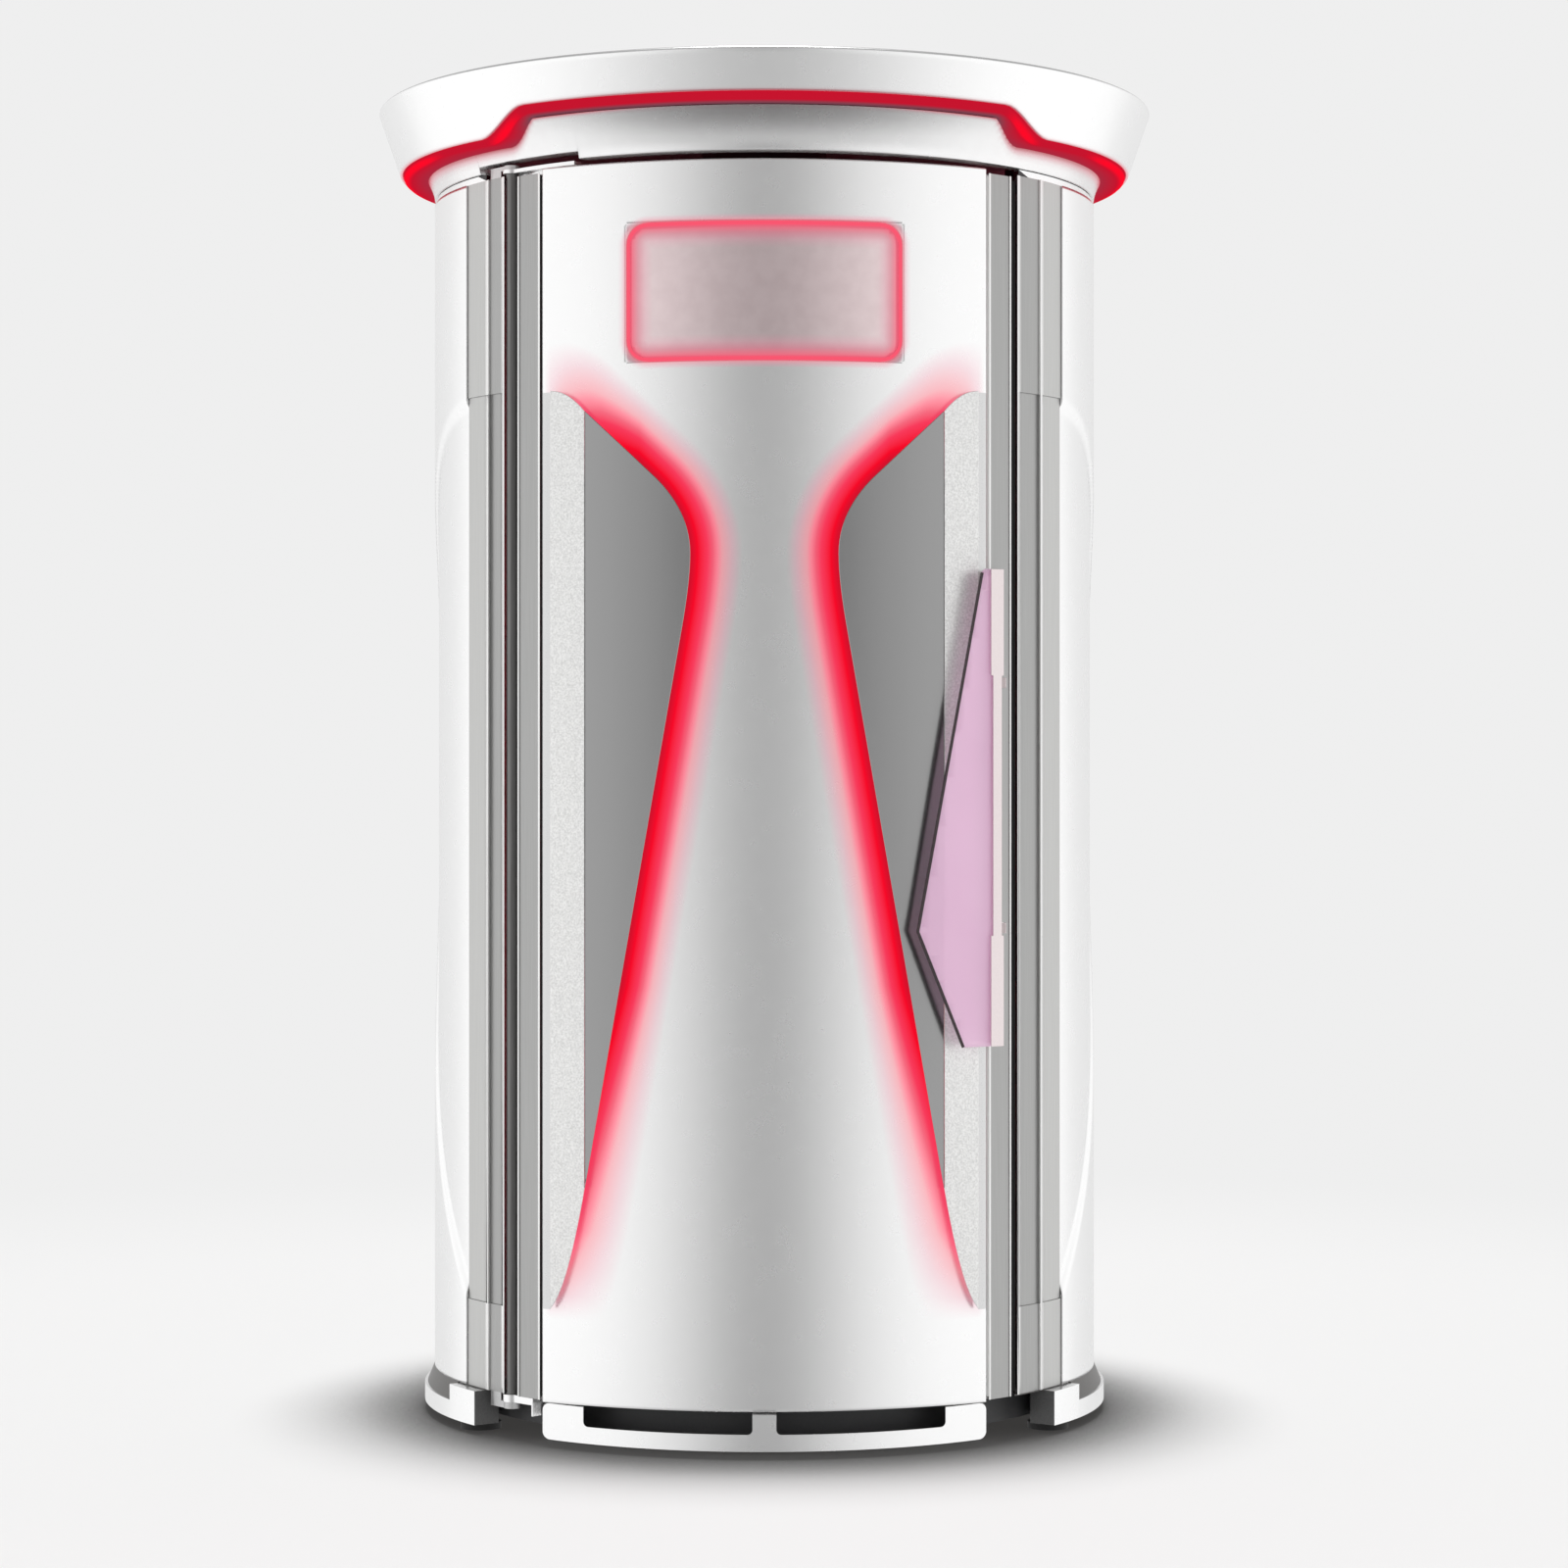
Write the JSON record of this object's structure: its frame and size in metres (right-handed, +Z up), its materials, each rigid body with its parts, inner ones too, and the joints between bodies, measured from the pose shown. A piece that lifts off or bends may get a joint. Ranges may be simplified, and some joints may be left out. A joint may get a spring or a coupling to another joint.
{
  "type": "stand-up red light therapy booth",
  "caption": "Round stand-up light therapy booth with a hinged curved door, raised grey door wings with red light edges, a lit canopy and tubular lamps all around the cabin.",
  "frame": {"origin": "on the floor at the booth's vertical axis", "axes": "+Z up, the door faces -Y, +X to the right of a person who faces the door"},
  "size_m": [1.334, 1.334, 2.228],
  "materials": {
    "white_shell": "gloss",
    "white_inner": "satin",
    "column_alu": "satin anodised",
    "dark_steel": "matte powder coat",
    "pan_grey": "satin powder coat",
    "grey_bracket": "satin powder coat",
    "door_white": "gloss",
    "wing_grey": "satin",
    "speckle_grey": "fine speckled",
    "red_light": "frosted, lit",
    "lamp_glass": "frosted, lit",
    "sign_glass": "frosted",
    "clear_acrylic": "polished",
    "pink_acrylic": "polished",
    "handle_satin": "frosted, satin",
    "bright_sheet": "mirror",
    "stainless": "brushed",
    "black_rubber": "matte",
    "mat_rubber": "ribbed, matte",
    "black_plastic": "matte",
    "display_glass": "gloss",
    "button_green": "satin",
    "button_grey": "satin",
    "stop_red": "gloss",
    "driver_case": "satin"
  },
  "bodies": {
    "cabinet": {"base_frame": "dark_steel", "base_pan": "pan_grey", "base_skirt": "white_shell", "toe_grille": "white_shell", "leveling_feet": "black_rubber", "floor_deck": "white_inner", "floor_mat": "mat_rubber", "side_panel_left": "white_shell", "side_panel_right": "white_shell", "rear_service_panel": "white_shell", "panel_screws": "stainless", "front_column_left": "column_alu", "front_column_right": "column_alu", "inner_cover_left": "white_inner", "inner_cover_right": "white_inner", "frame_posts": "stainless", "top_frame": "dark_steel", "fascia_ring": "white_shell", "canopy_crown": "white_shell", "canopy_light_strip": "red_light", "canopy_roof": "white_inner", "ceiling_panel": "white_inner", "grab_handles": "stainless", "fan_housing": "dark_steel", "fan_motor": "black_plastic", "fan_guard": "stainless", "cabin_reflectors": "bright_sheet", "cabin_lamp_tubes": "lamp_glass", "cabin_lampholders": "white_inner", "cabin_guards": "clear_acrylic", "lamp_drivers": "driver_case", "power_inlet": "black_plastic", "control_panel": "grey_bracket", "control_display": "display_glass", "hinge_brackets": "grey_bracket", "hinge_pins": "stainless", "catch_magnets": "driver_case"},
    "door": {"door_stiles": "column_alu", "door_rails": "white_inner", "door_skin": "door_white", "wing_left": "wing_grey", "wing_right": "wing_grey", "wing_edge_strips": "speckle_grey", "wing_light_strips": "red_light", "sign_panel": "sign_glass", "sign_light_frame": "red_light", "door_reflector": "bright_sheet", "door_lamp_tubes": "lamp_glass", "door_lampholders": "white_inner", "door_guard": "clear_acrylic", "door_seals": "black_rubber", "handle_bar": "handle_satin", "handle_plate": "pink_acrylic", "hinge_tube": "driver_case", "hinge_arms": "white_shell"},
    "fan": {"fan_rotor": "black_plastic"},
    "switch": {"main_switch": "stop_red"},
    "start": {"start_button": "button_green"},
    "timer": {"timer_button": "button_grey"},
    "stop": {"emergency_stop": "stop_red"}
  },
  "joints": [
    {"name": "door_swing", "type": "hinge", "parent": "cabinet", "child": "door", "pos_m": [-0.4135, -0.37318, 1.07], "axis": [0, 0, -1], "range_deg": [0, 105]},
    {"name": "fan_spin", "type": "hinge", "parent": "cabinet", "child": "fan", "pos_m": [0, 0, 2.082], "axis": [0, 0, 1], "continuous": true},
    {"name": "main_switch_rock", "type": "hinge", "parent": "cabinet", "child": "switch", "pos_m": [-0.022, 0.5745, 0.18], "axis": [1, 0, 0], "range_deg": [-16, 0]},
    {"name": "start_press", "type": "slide", "parent": "cabinet", "child": "start", "axis": [0.8616, -0.5075, 0], "range_m": [0, 0.0015], "stiffness_N_per_m": 800},
    {"name": "timer_press", "type": "slide", "parent": "cabinet", "child": "timer", "axis": [0.8616, -0.5075, 0], "range_m": [0, 0.0015], "stiffness_N_per_m": 800},
    {"name": "emergency_press", "type": "slide", "parent": "cabinet", "child": "stop", "axis": [0.8616, -0.5075, 0], "range_m": [0, 0.0035]}
  ]
}
